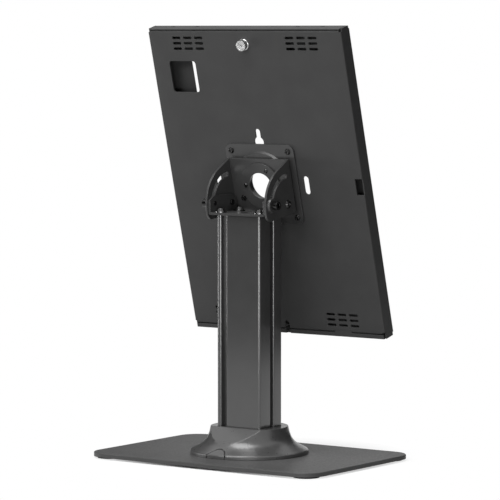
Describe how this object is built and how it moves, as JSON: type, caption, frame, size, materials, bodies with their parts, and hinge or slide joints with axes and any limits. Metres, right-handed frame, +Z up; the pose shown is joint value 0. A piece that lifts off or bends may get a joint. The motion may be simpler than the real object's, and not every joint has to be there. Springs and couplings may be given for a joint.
{
  "type": "tablet holder",
  "caption": "Lockable tablet enclosure of folded sheet steel on a tilting and turning head, carried by a slotted column on a flat rounded base plate.",
  "frame": {"origin": "on the table, under the centre of the base plate", "axes": "+Z up, the screen side faces -Y and leans back, +X is to the right seen from the screen side"},
  "size_m": [0.3, 0.2, 0.4715],
  "materials": {
    "base_paint": "dark grey satin powder coat",
    "column_paint": "dark grey satin powder coat",
    "case_paint": "dark grey fine-textured powder coat",
    "bracket_paint": "dark grey satin powder coat",
    "cover_plastic": "dark grey satin moulded plastic",
    "black_screw": "black oxide",
    "zinc": "zinc plated",
    "lock_metal": "nickel plated",
    "black_rubber": "matt",
    "black_foam": "matt foam"
  },
  "bodies": {
    "stand": {"base_plate": "base_paint", "rubber_feet": "black_rubber", "column_screws": "zinc", "column": "column_paint", "base_cover": "cover_plastic", "cable_outlet_tab": "cover_plastic", "top_bracket": "bracket_paint", "bracket_screws": "black_screw", "pivot_bolts": "black_screw", "slot_bolts": "black_screw", "slot_washers": "bracket_paint"},
    "tilt_head": {"tilt_bracket": "bracket_paint", "stop_screw": "black_screw"},
    "enclosure": {"swivel_plate": "bracket_paint", "swivel_screws": "black_screw", "swivel_ring": "bracket_paint", "ring_screws": "black_screw", "rear_pan": "case_paint", "lock_housing": "lock_metal", "lock_nut": "zinc", "edge_stops": "black_rubber", "foam_pads": "black_foam"},
    "door": {"front_door": "case_paint", "door_catch": "zinc"},
    "lock": {"lock_plug": "lock_metal", "lock_cam": "zinc"}
  },
  "joints": [
    {"name": "tilt_hinge", "type": "hinge", "parent": "stand", "child": "tilt_head", "pos_m": [0, -0.0155, 0.2786], "axis": [-1, 0, 0], "range_deg": [-7, 75]},
    {"name": "swivel", "type": "hinge", "parent": "tilt_head", "child": "enclosure", "pos_m": [0, -0.03036, 0.29966], "axis": [0, 0.9659, -0.2588], "range_deg": [0, 90]},
    {"name": "door_hinge", "type": "hinge", "parent": "enclosure", "child": "door", "pos_m": [0, -0.07547, 0.1342], "axis": [1, 0, 0], "range_deg": [0, 90]},
    {"name": "lock_turn", "type": "hinge", "parent": "enclosure", "child": "lock", "pos_m": [0, 0.01028, 0.45131], "axis": [0, 0.9659, -0.2588], "range_deg": [0, 90]}
  ]
}
